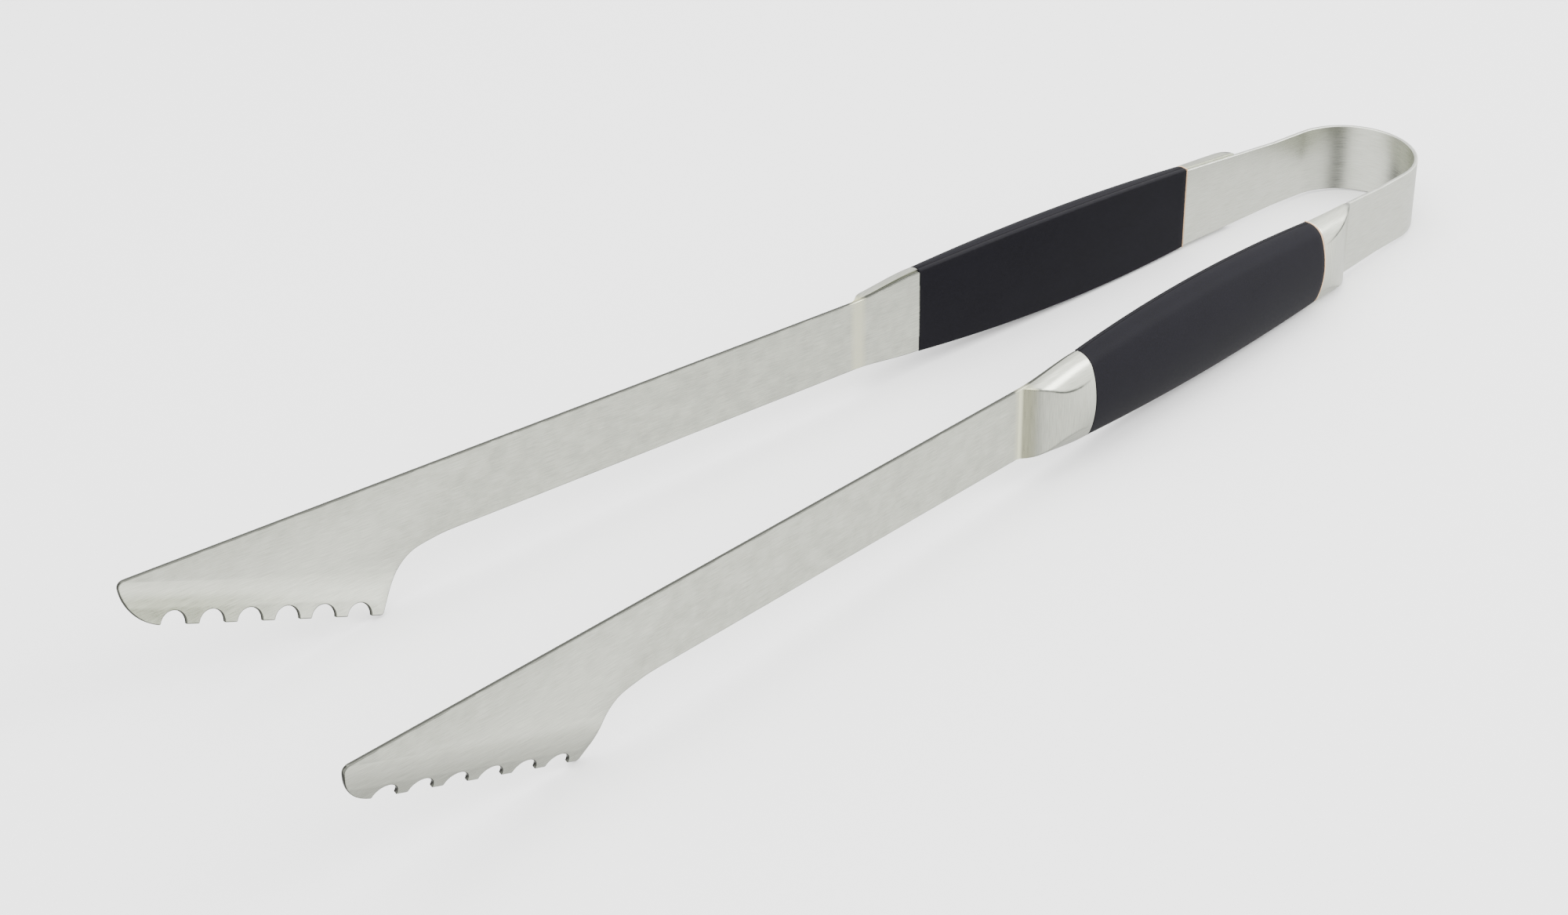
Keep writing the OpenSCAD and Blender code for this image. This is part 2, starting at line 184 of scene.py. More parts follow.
def upper_section(half, depth, r, shoulder_steps=18, dome_steps=20):
    """Points (b, z) from the level side at z = half, round the shoulder, to the crown at z = 0."""
    big = ((depth - LEVEL) ** 2 + (half - r) ** 2 - r * r) / (2 * (depth - LEVEL - r))
    turn = math.asin((half - r) * big / (big - r) / big)
    t = np.linspace(math.pi / 2, turn, shoulder_steps)
    shoulder = np.stack([LEVEL + r * np.cos(t), half - r + r * np.sin(t)], -1)
    t = np.linspace(turn, 0, dome_steps)[1:]
    dome = np.stack([depth - big + big * np.cos(t), big * np.sin(t)], -1)
    return np.concatenate([shoulder, dome])


def both_halves(upper):
    """The upper half of a section and its mirror image, from one level side to the other."""
    lower = upper[-2::-1].copy()
    lower[:, 1] *= -1
    return np.concatenate([upper, lower])


print("section at the seam:", len(both_halves(upper_section(SEAM_HALF, SEAM_D, SHOULDER))), "points")

# %% [markdown]
# Along the grip the D swells a little towards the middle. A crown function says how much: nothing
# at both ends and all of it in the middle. The edges at the seams and along the parting line are
# rounded by a fraction of a millimetre, because moulded parts never have a razor edge, and the
# rounding is what draws the fine line between two parts that touch.

# %% Grip shape
GRIP_MID, GRIP_LEN = 107.8, 110.8
MID_HALF, MID_D, FACE_BULGE = 16.0, 10.2, 1.4   # the section in the middle of the grip
INNER_T, PART_GAP, END_R = 1.6, 0.03, 0.35      # inner half, parting line and end rounding
END_HIGHLIGHT = 0.8                                  # how far the painted edge highlight reaches from each end


def crown(a):
    return 1 - ((a - GRIP_MID) / (GRIP_LEN / 2)) ** 2


def grip_half(a):
    return SEAM_HALF + (MID_HALF - SEAM_HALF) * crown(a)


def grip_depth(a):
    return SEAM_D + (MID_D - SEAM_D) * crown(a)


def grip_face(a):
    return -FACE_BULGE * crown(a)


def with_across(a, section):
    """Adds the station and the distance run round the section to (b, z) points."""
    step = np.hypot(*np.diff(section, axis=0).T)
    run = np.concatenate([[0], np.cumsum(step)])
    return np.column_stack([np.full(len(section), a), section, run - run[-1] / 2])


def end_rounding(a0, a1, r, steps=64):
    """Stations along a grip, and how far the section draws in at each, to round both ends."""
    turn = np.linspace(0, math.pi / 2, 5)
    start = [(a0 + r * (1 - math.cos(t)), r * (1 - math.sin(t))) for t in turn]
    end = [(a1 - r * (1 - math.cos(t)), r * (1 - math.sin(t))) for t in turn[::-1]]
    return start + [(a, 0) for a in np.linspace(a0 + r, a1 - r, steps)[1:-1]] + end


# The grip's edge mask places a painted highlight along the parting line and round both ends.
def end_highlight(a):
    return max(0.0, 1 - min(a - SPACER_END, FRONT_SEAM - a) / END_HIGHLIGHT)


def grip_outer(side):
    rings, edge = [], []
    for a, draw in end_rounding(SPACER_END, FRONT_SEAM, END_R):
        upper = upper_section(grip_half(a) - draw, grip_depth(a) - draw, SHOULDER - draw)
        part = grip_face(a) + INNER_T + PART_GAP + draw
        side_z = upper[0, 1]
        lead = np.array([[part, side_z - 0.8], [part, side_z - 0.22], [part + 0.06, side_z - 0.06],
                         [part + 0.22, side_z], [part + 0.5, side_z]])
        section = both_halves(np.concatenate([lead, upper]))
        rings.append(with_across(a, section))
        near_end = end_highlight(a)
        near_part = np.clip(1 - (section[:, 0] - part) / 0.6, 0, 1)
        edge.append(np.maximum(near_part, near_end))
    return loft(f"{side}_grip_outer_shell", side, rings, {"edge": np.concatenate(edge)})


def grip_inner(side):
    rings, edge = [], []
    for a, draw in end_rounding(SPACER_END, FRONT_SEAM, END_R):
        face, half = grip_face(a) + draw, grip_half(a) - draw
        part = grip_face(a) + INNER_T - PART_GAP
        t = np.linspace(0, math.pi / 2, 7)
        soft = np.stack([face + 0.7 * (1 - np.sin(t)), half - 0.7 * (1 - np.cos(t))], -1)
        back = np.array([[part, half - 0.8], [part, half - 0.22], [part - 0.06, half - 0.06],
                         [part - 0.22, half]])
        flat = np.stack([np.full(9, face), np.linspace(half - 1.0, 0, 9)], -1)
        section = both_halves(np.concatenate([back, soft, flat]))
        rings.append(with_across(a, section))
        # Painted highlight along the inner half's rim and round both ends.
        from_edge = np.minimum(np.abs(section[:, 1]) - half + 1.2, 1.2) / 1.2
        near_end = end_highlight(a)
        edge.append(np.maximum(np.clip(from_edge, 0, 1), near_end))
    return loft(f"{side}_grip_inner_shell", side, rings, {"edge": np.concatenate(edge)})


for side in ("right", "left"):
    for half, make in (("grip_outer", grip_outer), ("grip_inner", grip_inner)):
        finish_mesh(f"{side}_{half}_shell", make(side), f"{side}_arm", [f"{side}_{half}"])

# %% [markdown]
# The spacer is a slice of the same section, half a millimetre thick, between the rear bolster
# and the grip. Only its rim shows, as a thin tan line round the handle.

# %% Spacer


def spacer(side):
    rings = []
    for a, draw in end_rounding(REAR_SEAM, SPACER_END, 0.08, 4):
        upper = upper_section(SEAM_HALF - draw, SEAM_D - draw, SHOULDER - draw)
        lead = np.array([[draw, upper[0, 1] - 0.4], [draw, upper[0, 1]]])
        rings.append(with_across(a, both_halves(np.concatenate([lead, upper]))))
    return loft(f"{side}_spacer_ring", side, rings)


for side in ("right", "left"):
    finish_mesh(f"{side}_spacer_ring", spacer(side), f"{side}_arm",
                [f"{side}_grip_spacer"])

# %% [markdown]
# A bolster is pressed from sheet. At the seam it has the handle's full D. Towards the toe a
# crowned ramp cuts across the D, which leaves two curved ridges that run out to the edges.
# At every station the surface is the lower of two shapes, the D and the ramp. A soft minimum
# rounds the ridge where they cross, and the points of each row are packed close to it.

# %% Bolster shape
FRONT_RUN, REAR_RUN = FRONT_TOE - FRONT_SEAM, REAR_SEAM - REAR_TOE
TOE_CORNER, TOE_CORNER_RUN = 1.7, 5.5   # how far the rear toe's corners draw in, and over what length


def soft_min(p, q, k):
    h = np.clip(0.5 + 0.5 * (q - p) / k, 0, 1)
    return q * (1 - h) + p * h - k * h * (1 - h)


def ease(u):
    u = np.clip(u, 0, 1)
    return u * u * (3 - 2 * u)


def front_half(a):
    return STRIP_HALF + (SEAM_HALF - STRIP_HALF) * ease((FRONT_TOE - a) / FRONT_RUN)


def rear_half(a):
    run = a - REAR_TOE
    corner = TOE_CORNER * (1 - math.sqrt(1 - max(1 - run / TOE_CORNER_RUN, 0) ** 2))
    return ROOT_HALF + (SEAM_HALF - ROOT_HALF) * ease(run / REAR_RUN) - corner


def dome_rise(z, z0=7.3):
    """How much higher the handle's dome is at z than at z0."""
    big = ((SEAM_D - LEVEL) ** 2 + (SEAM_HALF - SHOULDER) ** 2 - SHOULDER ** 2) / (
        2 * (SEAM_D - LEVEL - SHOULDER))
    return np.sqrt(big * big - np.asarray(z) ** 2) - math.sqrt(big * big - z0 * z0)


def bolster(name, side, toe, seam, steep, half_at, fillet):
    """A shell from its toe to its seam; steep shapes the ramp and fillet rounds its foot."""
    height = SEAM_D + float(dome_rise(7.3, 0)) - STRIP_T - 0.04
    run = abs(seam - toe)
    way = 1 if seam > toe else -1
    lip = 0.18
    stations = np.concatenate([np.linspace(0, 1, 15) ** 1.6 * 3.0,
                               np.linspace(3.0, run - 0.5, 40)[1:], [run - lip, run - lip / 3, run]])
    rows, facet, ridge, cross = [], [], [], 0
    for s in stations:
        draw = {run - lip / 3: 0.06, run: lip}.get(s, 0.0)
        a = toe + way * s
        half = half_at(a) - draw
        dense = upper_section(half, SEAM_D - draw, SHOULDER - draw, 200, 220)
        dense = np.concatenate([[[STRIP_T, half]], dense])
        soft = s * s / (2 * fillet) if s < fillet else s - fillet / 2
        u = min(soft / (run - fillet / 2), 1)
        ramp0 = STRIP_T + height * (1 - (1 - u) ** steep)
        ramp = ramp0 + 0.85 * ease((u - 0.45) / 0.55) * dome_rise(dense[:, 1])
        above = np.nonzero(dense[:, 0] - ramp > 0)[0]
        cross = above[0] if len(above) and s < run - lip else cross
        length = np.concatenate([[0], np.cumsum(np.hypot(*np.diff(dense, axis=0).T))])
        at = length[max(cross, 1)]
        wanted = np.concatenate([at * (1 - (1 - np.linspace(0, 1, 16)) ** 1.8),
                                 at + (length[-1] - at) * np.linspace(0, 1, 22)[1:] ** 1.8])
        b = np.interp(wanted, length, dense[:, 0])
        z = np.interp(wanted, length, dense[:, 1])
        top = np.interp(wanted, length, ramp)
        ridge_z = float(np.interp(at, length, dense[:, 1]))
        soften = 0.4 * min(1, s / 2) * np.clip((height + STRIP_T - ramp0) / 0.4, 0.12, 1)
        low = np.minimum(soft_min(b, top, soften) if s > 0 else np.minimum(b, top), b)
        low = np.maximum(low, STRIP_T)
        fade = min(1.0, max(0.0, (run - s) / 6))
        rows.append(with_across(a, both_halves(np.stack([low, z], -1))))
        off = ridge_z - np.abs(rows[-1][:, 2])
        # The ridge mask becomes a painted line of shade along both ridges, fainter on the lower one.
        fade = fade * np.where(rows[-1][:, 2] > 0, 1, 0.3)  # the upper ridge is the sharper one
        facet.append(ease(off / 0.8 + 0.5) * min(1.0, s))
        ridge.append(np.exp(-((off / 0.36) ** 2)) * fade * min(1.0, s / 3))
    n = len(rows[0])
    top = np.concatenate(rows)
    base = top.copy()
    base[:, 1] = STRIP_T
    count = len(top)
    faces = []
    for i in range(len(rows) - 1):
        for j in range(n - 1):
            p, q = i * n + j, (i + 1) * n + j
            faces += [[p, p + 1, q + 1, q], [count + p, count + q, count + q + 1, count + p + 1]]
        for j in (0, n - 1):
            p, q = i * n + j, (i + 1) * n + j
            faces.append([p, q, count + q, count + p])
    last = (len(rows) - 1) * n
    faces.append([last + j for j in range(n)] + [count + last + j for j in range(n)][::-1])
    both = np.concatenate([top, base])
    points = on_arm(side, both[:, 0], both[:, 1], both[:, 2])
    uv = np.stack([both[:, 0], both[:, 3]], -1) * 0.001
    zero = np.zeros(count)
    masks = {"facet": np.concatenate([np.concatenate(facet), zero]),
             "edge": np.concatenate([np.concatenate(ridge), zero])}
    return mesh_of(name, points, faces, uv, masks)


bolsters = {"front_bolster": (FRONT_TOE, FRONT_SEAM, 4.0, front_half, 1.8),
            "rear_bolster": (REAR_TOE, REAR_SEAM, 2.5, rear_half, 0.4)}
for side in ("right", "left"):
    for kind, shape in bolsters.items():
        shell = bolster(f"{side}_{kind}_shell", side, *shape)
        finish_mesh(shell.name, shell, f"{side}_arm", [f"{side}_{kind}"], 70)

# %% [markdown]
# The jaw's teeth are what is left between a row of round scallops. They repeat, so Geometry
# Nodes draw them: a line of points, a half circle placed on each one, and the instances made
# real. The count, pitch and radius are named inputs, so another jaw needs no new tree.

# %% Scallop row


def new_tree(name, sockets):
    """An empty Geometry Nodes tree with named inputs; returns it with its two group nodes."""
    tree = bpy.data.node_groups.new(name, "GeometryNodeTree")
    tree.interface.new_socket("Geometry", in_out="INPUT", socket_type="NodeSocketGeometry")
    for label, kind in sockets:
        tree.interface.new_socket(label, in_out="INPUT", socket_type=kind)
    tree.interface.new_socket("Geometry", in_out="OUTPUT", socket_type="NodeSocketGeometry")
    return tree, tree.nodes.new("NodeGroupInput"), tree.nodes.new("NodeGroupOutput")


def add(tree, kind, inputs=None, **settings):
    """One node, with its settings and with each input either a value or a link."""
    made = tree.nodes.new(kind)
    for key, value in settings.items():
        setattr(made, key, value)
    for key, value in (inputs or {}).items():
        if isinstance(value, bpy.types.NodeSocket):
            tree.links.new(value, made.inputs[key])
        else:
            made.inputs[key].default_value = value
    return made


def grown(obj, tree, values):
    """Runs a tree on an object with the given inputs and returns the result as a plain mesh."""
    grow = obj.modifiers.new(tree.name, "NODES")
    grow.node_group = tree
    by_name = {s.name: s.identifier for s in tree.interface.items_tree if s.in_out == "INPUT"}
    for label, value in values.items():
        grow[by_name[label]] = value
    bpy.context.view_layer.update()
    shape = bpy.data.meshes.new_from_object(obj.evaluated_get(bpy.context.evaluated_depsgraph_get()))
    obj.modifiers.remove(grow)
    return shape


def scallop_tree():
    tree, given, result = new_tree("scallop_row", [
        ("Count", "NodeSocketInt"), ("Pitch", "NodeSocketFloat"), ("Radius", "NodeSocketFloat"),
        ("Steps", "NodeSocketInt"), ("Material", "NodeSocketMaterial")])
    step = add(tree, "ShaderNodeCombineXYZ", {"X": given.outputs["Pitch"]})
    row = add(tree, "GeometryNodeMeshLine", {"Count": given.outputs["Count"], "Offset": step.outputs[0]},
              mode="OFFSET")
    arc = add(tree, "GeometryNodeCurveArc", {
        "Resolution": given.outputs["Steps"], "Radius": given.outputs["Radius"],
        "Start Angle": math.pi, "Sweep Angle": -math.pi}, mode="RADIUS")
    placed = add(tree, "GeometryNodeInstanceOnPoints", {"Points": row.outputs[0],
                                                        "Instance": arc.outputs[0]})
    drawn = add(tree, "GeometryNodeRealizeInstances", {"Geometry": placed.outputs[0]})
    line = add(tree, "GeometryNodeCurveToMesh", {"Curve": drawn.outputs[0]})
    dressed = add(tree, "GeometryNodeSetMaterial", {"Geometry": line.outputs[0],
                                                    "Material": given.outputs["Material"]})
    tree.links.new(dressed.outputs[0], result.inputs[0])
    return tree


def scratch(name, points=(), edges=()):
    """A throwaway object for a tree to work on."""
    mesh = bpy.data.meshes.new(name)
    mesh.from_pydata([tuple(p) for p in points], [tuple(e) for e in edges], [])
    obj = bpy.data.objects.new(name, mesh)
    bpy.context.scene.collection.objects.link(obj)
    return obj


SCALLOPS, PITCH, SCALLOP_R, HEEL_LAND = 6, 11.5, 3.8, 3.85
holder = scratch("scallop_holder")
arcs = grown(holder, scallop_tree(), {"Count": SCALLOPS, "Pitch": PITCH, "Radius": SCALLOP_R,
                                      "Steps": 22})
scallop_points = np.array([v.co[:2] for v in arcs.vertices])
bpy.data.objects.remove(holder)
order = np.lexsort((scallop_points[:, 0], np.round(scallop_points[:, 0] / PITCH)))
scallop_points = scallop_points[order] + [HEEL_LAND + SCALLOP_R, 0]
print("scallops:", SCALLOPS, "with", len(scallop_points), "points; last ends at",
      round(scallop_points[-1, 0], 2), "mm along the row")

# %% [markdown]
# The blade is laser cut from flat strip and its jaw is then bent along a slanting crease. The mesh
# is made in the same order. The flat outline comes first, with rings set in from it that round
# its edges. Cuts along the crease give the bend enough points, and then each point is turned by
# the bend. Extra rings close to the edge keep the large flat faces perfectly flat in the light.

# %% Blade outline
HEEL_START, HEEL_TOOTH = 336.0, np.array([356.0, -28.8])
HEEL_R = 16                                # fillet between the strip and the heel
LEAD_IN, LEAD_AT, LEAD_RUN = 0.6, 338.5, 4.2   # softens the start of that fillet
ROW = math.radians(20.8)
row_dir = np.array([math.cos(ROW), math.sin(ROW)])
row_up = np.array([-math.sin(ROW), math.cos(ROW)])
first_tooth = HEEL_TOOTH + (HEEL_LAND + SCALLOPS * PITCH - (PITCH - 2 * SCALLOP_R)) * row_dir
TIP_REACH, TIP_CORNER = 8.8, 2.0
tip = first_tooth[0] + TIP_REACH


def arc(mid, r, start, end, steps):
    t = np.radians(np.linspace(start, end, steps))
    return np.stack([mid[0] + r * np.cos(t), mid[1] + r * np.sin(t)], -1)


def blade_half(a):
    return STRIP_HALF + (ROOT_HALF - STRIP_HALF) * ease((FRONT_TOE - a) / FRONT_RUN)


def blade_outline():
    """The flat outline, anticlockwise, as (along, across)."""
    wide = np.concatenate([np.linspace(FRONT_SEAM, FRONT_TOE, 40), [230, 280, 320]])
    fillet_mid = (HEEL_START, -STRIP_HALF - HEEL_R)
    gap = HEEL_TOOTH - fillet_mid
    stop = math.degrees(math.atan2(gap[1], gap[0]) + math.acos(HEEL_R / np.hypot(*gap)))
    before = np.linspace(HEEL_START - 10, HEEL_START - 0.6, 12)
    heel = np.concatenate([np.stack([before, np.full(12, -STRIP_HALF)], -1),
                           arc(fillet_mid, HEEL_R, 90, stop, 26)])
    heel[:, 1] -= LEAD_IN * np.exp(-((heel[:, 0] - LEAD_AT) / LEAD_RUN) ** 2)
    teeth = HEEL_TOOTH + scallop_points[:, :1] * row_dir + scallop_points[:, 1:] * row_up
    corner_z = STRIP_HALF - TIP_CORNER
    drop = corner_z - first_tooth[1]
    tip_r = (TIP_REACH ** 2 + drop ** 2) / (2 * TIP_REACH)
    nose = arc((tip - tip_r, corner_z), tip_r, -math.degrees(math.acos(1 - TIP_REACH / tip_r)), 0, 24)
    corner = arc((tip - TIP_CORNER, corner_z), TIP_CORNER, 0, 90, 12)[1:]
    lower = np.stack([wide, -blade_half(wide)], -1)
    upper = np.stack([wide[::-1], blade_half(wide[::-1])], -1)
    return np.concatenate([lower, heel, [HEEL_TOOTH], teeth, nose, corner, upper])


def set_in(loop, by):
    """The outline drawn in by a distance, with its corners mitred."""
    before, after = loop - np.roll(loop, 1, 0), np.roll(loop, -1, 0) - loop
    before /= np.hypot(*before.T)[:, None]
    after /= np.hypot(*after.T)[:, None]
    left = np.stack([-(before + after)[:, 1], (before + after)[:, 0]], -1)
    left /= np.maximum(np.hypot(*left.T), 1e-9)[:, None]
    reach = np.clip((-before[:, 1] * left[:, 0] + before[:, 0] * left[:, 1]), 0.45, 1)
    return loop + left * (by / reach)[:, None]


def round_corners(loop, small, heel, sharpest=35, steps=7):
    """Replaces each sharp corner with a small arc, and the heel tooth's with a larger one."""
    made = []
    for before, at, after in zip(np.roll(loop, 1, 0), loop, np.roll(loop, -1, 0)):
        u, v = (before - at) / np.hypot(*(before - at)), (after - at) / np.hypot(*(after - at))
        turn = math.pi - math.acos(np.clip(u @ v, -1, 1))
        if math.degrees(turn) < sharpest:
            made.append(at)
            continue
        r = heel if np.allclose(at, HEEL_TOOTH) else small
        reach = r * math.tan(turn / 2)
        mid = at + (u + v) / np.hypot(*(u + v)) * r / math.cos(turn / 2)
        first, last = at + u * reach - mid, at + v * reach - mid
        for t in np.linspace(0, 1, steps):
            way = first * (1 - t) + last * t
            made.append(mid + way / np.hypot(*way) * r)
    return np.array(made)


outline = blade_outline()
outline = outline[np.hypot(*(outline - np.roll(outline, 1, 0)).T) > 0.02]
outline = round_corners(outline, 0.42, 1.2)
print("blade outline:", len(outline), "points, tip at", round(outline[:, 0].max(), 2), "mm")

# %% Blade solid
LIP_W, LIP_ANGLE, BEND = 9.4, math.radians(18), 3.5
crease = HEEL_TOOTH + LIP_W * row_up


def bend_lip(along, out, across):
    """Bends everything below the crease inwards, over a short arc instead of a sharp fold."""
    rel = np.stack([along, across], -1) - crease
    r, n = rel @ row_dir, rel @ row_up
    s = np.clip(BEND - n, 0, 2 * BEND)
    turn = LIP_ANGLE * s / (2 * BEND)
    big = 2 * BEND / LIP_ANGLE
    past = np.maximum(-BEND - n, 0)
    down = big * np.sin(turn) + past * math.cos(LIP_ANGLE)
    inward = big * (1 - np.cos(turn)) + past * math.sin(LIP_ANGLE)
    rise = out - STRIP_T / 2
    new_n = np.where(n > BEND, n, BEND - down - rise * np.sin(turn))
    new_b = np.where(n > BEND, out, STRIP_T / 2 - inward + rise * np.cos(turn))
    flat = crease + r[:, None] * row_dir + new_n[:, None] * row_up
    return flat[:, 0], new_b, flat[:, 1]


def blade(side):
    r = 0.24
    t = np.linspace(0, math.pi / 2, 4)
    back = [(r + 0.1, 0.0)] + [(r * (1 - math.sin(x)), r * (1 - math.cos(x))) for x in t]
    rings = back + [(i, STRIP_T - b) for i, b in back[::-1]]
    loops = [set_in(outline, i) if i else outline for i, _ in rings]
    n = len(outline)
    points = np.concatenate([np.column_stack([lp[:, 0], np.full(n, b), lp[:, 1]])
                             for lp, (_, b) in zip(loops, rings)])
    faces = [[k * n + j, k * n + (j + 1) % n, (k + 1) * n + (j + 1) % n, (k + 1) * n + j]
             for k in range(len(rings) - 1) for j in range(n)]
    faces += [list(range(n))[::-1], [(len(rings) - 1) * n + j for j in range(n)]]
    bm = bmesh.new()
    corners = [bm.verts.new(p) for p in points]
    for f in faces:
        bm.faces.new([corners[i] for i in f])
    bm.normal_update()
    bmesh.ops.triangulate(bm, faces=[f for f in bm.faces if len(f.verts) > 4])
    for offset in np.concatenate([[-BEND - 1.0], np.linspace(-BEND, BEND, 21), [BEND + 1.0]]):
        at = crease + offset * row_up
        bmesh.ops.bisect_plane(bm, geom=list(bm.verts) + list(bm.edges) + list(bm.faces), dist=1e-5,
                               plane_co=(at[0], 0, at[1]), plane_no=(row_up[0], 0, row_up[1]))
    flat = bpy.data.meshes.new(f"{side}_blade_plate")
    bm.to_mesh(flat)
    bm.free()
    co = np.array([v.co[:] for v in flat.vertices])
    uv = co[:, [0, 2]] * 0.001
    nearest = np.full(len(co), 9.0)
    for p, q in zip(outline, np.roll(outline, -1, 0)):
        d = q - p
        k = np.clip(((co[:, [0, 2]] - p) @ d) / (d @ d), 0, 1)
        nearest = np.minimum(nearest, np.hypot(*(co[:, [0, 2]] - p - k[:, None] * d).T))
    # This edge mask places painted shade: a dark line along the blade's cut edges and scallops.
    edge = np.clip(1 - nearest / 0.4, 0, 1)
    along, out, across = bend_lip(co[:, 0], co[:, 1], co[:, 2])
    faces = [list(f.vertices) for f in flat.polygons]
    bpy.data.meshes.remove(flat)
    return mesh_of(f"{side}_blade_plate", on_arm(side, along, out, across), faces, uv, {"edge": edge})


for side in ("right", "left"):
    finish_mesh(f"{side}_blade_plate", blade(side), f"{side}_arm",
                [f"{side}_blade"], 60, rim=0.41, crisp=True)

# %% [markdown]
# The spring strip has one section all the way: flat, with softly rounded edges. It follows a path,
# so Geometry Nodes sweep it. The path runs from the tail of the bow round to the leg. A rounded
# rectangle is carried along it, and the width then grows where the leg widens towards the handle. Each
# half of the bow is its own sweep, because each half bends with its own arm.

# %% Swept strip tree


def strip_tree():
    tree, given, result = new_tree("swept_strip", [
        ("Thickness", "NodeSocketFloat"), ("Base width", "NodeSocketFloat"),
        ("Edge radius", "NodeSocketFloat"), ("Edge steps", "NodeSocketInt"),
        ("Material", "NodeSocketMaterial")])
    path = add(tree, "GeometryNodeMeshToCurve", {"Mesh": given.outputs["Geometry"]})
    level = add(tree, "GeometryNodeSetCurveNormal", {"Curve": path.outputs[0]}, mode="Z_UP")
    box = add(tree, "GeometryNodeCurvePrimitiveQuadrilateral", {
        "Width": given.outputs["Thickness"], "Height": given.outputs["Base width"]}, mode="RECTANGLE")
    soft = add(tree, "GeometryNodeFilletCurve", {
        "Curve": box.outputs[0], "Count": given.outputs["Edge steps"],
        "Radius": given.outputs["Edge radius"]}, mode="POLY")
    swept = add(tree, "GeometryNodeCurveToMesh", {
        "Curve": level.outputs[0], "Profile Curve": soft.outputs[0], "Fill Caps": True})
    where = add(tree, "GeometryNodeInputPosition")
    height = add(tree, "ShaderNodeSeparateXYZ", {0: where.outputs[0]})
    upper = add(tree, "ShaderNodeMath", {0: height.outputs["Z"]}, operation="SIGN")
    half = add(tree, "GeometryNodeInputNamedAttribute", {"Name": "half"}, data_type="FLOAT")
    base = add(tree, "ShaderNodeMath", {0: given.outputs["Base width"], 1: 0.5}, operation="MULTIPLY")
    extra = add(tree, "ShaderNodeMath", {0: half.outputs[0], 1: base.outputs[0]}, operation="SUBTRACT")
    shift = add(tree, "ShaderNodeMath", {0: extra.outputs[0], 1: upper.outputs[0]}, operation="MULTIPLY")
    lift = add(tree, "ShaderNodeCombineXYZ", {"Z": shift.outputs[0]})
    widened = add(tree, "GeometryNodeSetPosition", {"Geometry": swept.outputs[0],
                                                    "Offset": lift.outputs[0]})
    real = add(tree, "GeometryNodeRealizeInstances", {"Geometry": widened.outputs[0]})
    dressed = add(tree, "GeometryNodeSetMaterial", {"Geometry": real.outputs[0],
                                                    "Material": given.outputs["Material"]})
    tree.links.new(dressed.outputs[0], result.inputs[0])
    return tree


strip_nodes = strip_tree()


def swept(name, path, along, half):
    """Sweeps the strip along a path of upright (x, y) points; along and half belong to each point."""
    holder = scratch("strip_path", np.column_stack([path, np.zeros(len(path))]),
                     [(i, i + 1) for i in range(len(path) - 1)])
    for key, values in (("half", half), ("along", along)):
        layer = holder.data.attributes.new(key, "FLOAT", "POINT")
        layer.data.foreach_set("value", np.asarray(values, np.float32))
    shape = grown(holder, strip_nodes, {"Thickness": STRIP_T, "Base width": 2 * min(half),
                                        "Edge radius": 0.28, "Edge steps": 4})
    bpy.data.objects.remove(holder)
    run, halves = np.zeros((2, len(shape.vertices)), np.float32)
    shape.attributes["along"].data.foreach_get("value", run)
    shape.attributes["half"].data.foreach_get("value", halves)
    co = np.array([v.co[:] for v in shape.vertices])
    faces = [list(f.vertices) for f in shape.polygons]
    # The edge mask places a painted highlight along the strip's rounded rims.
    edge = np.clip(1 - (halves - np.abs(co[:, 2])) / 0.4, 0, 1)
    bpy.data.meshes.remove(shape)
    uv = np.stack([run, co[:, 2]], -1) * 0.001
    return mesh_of(name, co, faces, uv, {"edge": edge})


def leg_half(a):
    wider = np.clip((np.asarray(a, float) - LEG_START) / (REAR_SEAM - LEG_START), 0, 1)
    return STRIP_HALF + (ROOT_HALF - STRIP_HALF) * wider


def bow_half(side):
    mid = BOW_R + STRIP_T / 2
    sign = -1 if side == "right" else 1
    turn = np.linspace(0, math.pi / 2 - SPLAY, 90)
    round_part = np.stack([mid * np.cos(turn), sign * mid * np.sin(turn)], -1)
    run = mid * (turn - turn[-1])
    a = np.concatenate([np.linspace(0, LEG_START, 14)[1:], np.linspace(LEG_START, REAR_SEAM, 44)[1:]])
    leg = on_arm(side, a, STRIP_T / 2, 0)[:, :2]
    along = np.concatenate([run, a])
    return swept(f"{side}_bow_half", np.concatenate([round_part, leg]), along, leg_half(along))


# %% [markdown]
# Each half of the bow belongs to two bodies. Near the tail it stays with the bow, at the leg it
# moves with the arm, and in between it bends smoothly. The tangs that run on into the grip lie
# hidden between the grip's halves. They step outwards first, then run level.

# %% Bow halves and tangs
BEND_END = 26   # along the leg, where the strip moves fully with the arm
for side in ("right", "left"):
    half_bow = finish_mesh(f"{side}_bow_half", bow_half(side), sharp=60, rim=0.31)
    tail = lay_down @ Vector((BOW_R + STRIP_T, 0, 0))
    leg_end = lay_down @ Vector(on_arm(side, BEND_END, 0, 0)[0])
    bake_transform(half_bow, "bow", f"{side}_arm", start=(tail.x, 0, tail.z), end=(leg_end.x, 0, leg_end.z))
    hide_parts("spring_bow")


TANG_LEN, TANG_OVERLAP = 89, 0.6   # each tang starts just outside the grip's seam


def tang(name, side, start, way, step, width):
    a = start + way * np.array([0.0, 0.4, step + 0.4, step + 2, TANG_LEN])
    b = STRIP_T / 2 + np.array([0, 0, step, step, step])
    path = on_arm(side, a, b, 0)[:, :2]
    return swept(name, path, a, np.full(len(a), width / 2))


tangs = {"blade_tang": (FRONT_SEAM + TANG_OVERLAP, -1, 2.3, 18),
         "spring_tang": (REAR_SEAM - TANG_OVERLAP, 1, 3.6, 16)}
for side in ("right", "left"):
    for kind, shape in tangs.items():
        name = f"{side}_{kind}"
        finish_mesh(name, tang(name, side, *shape), f"{side}_arm", (), 60, rim=0.31)

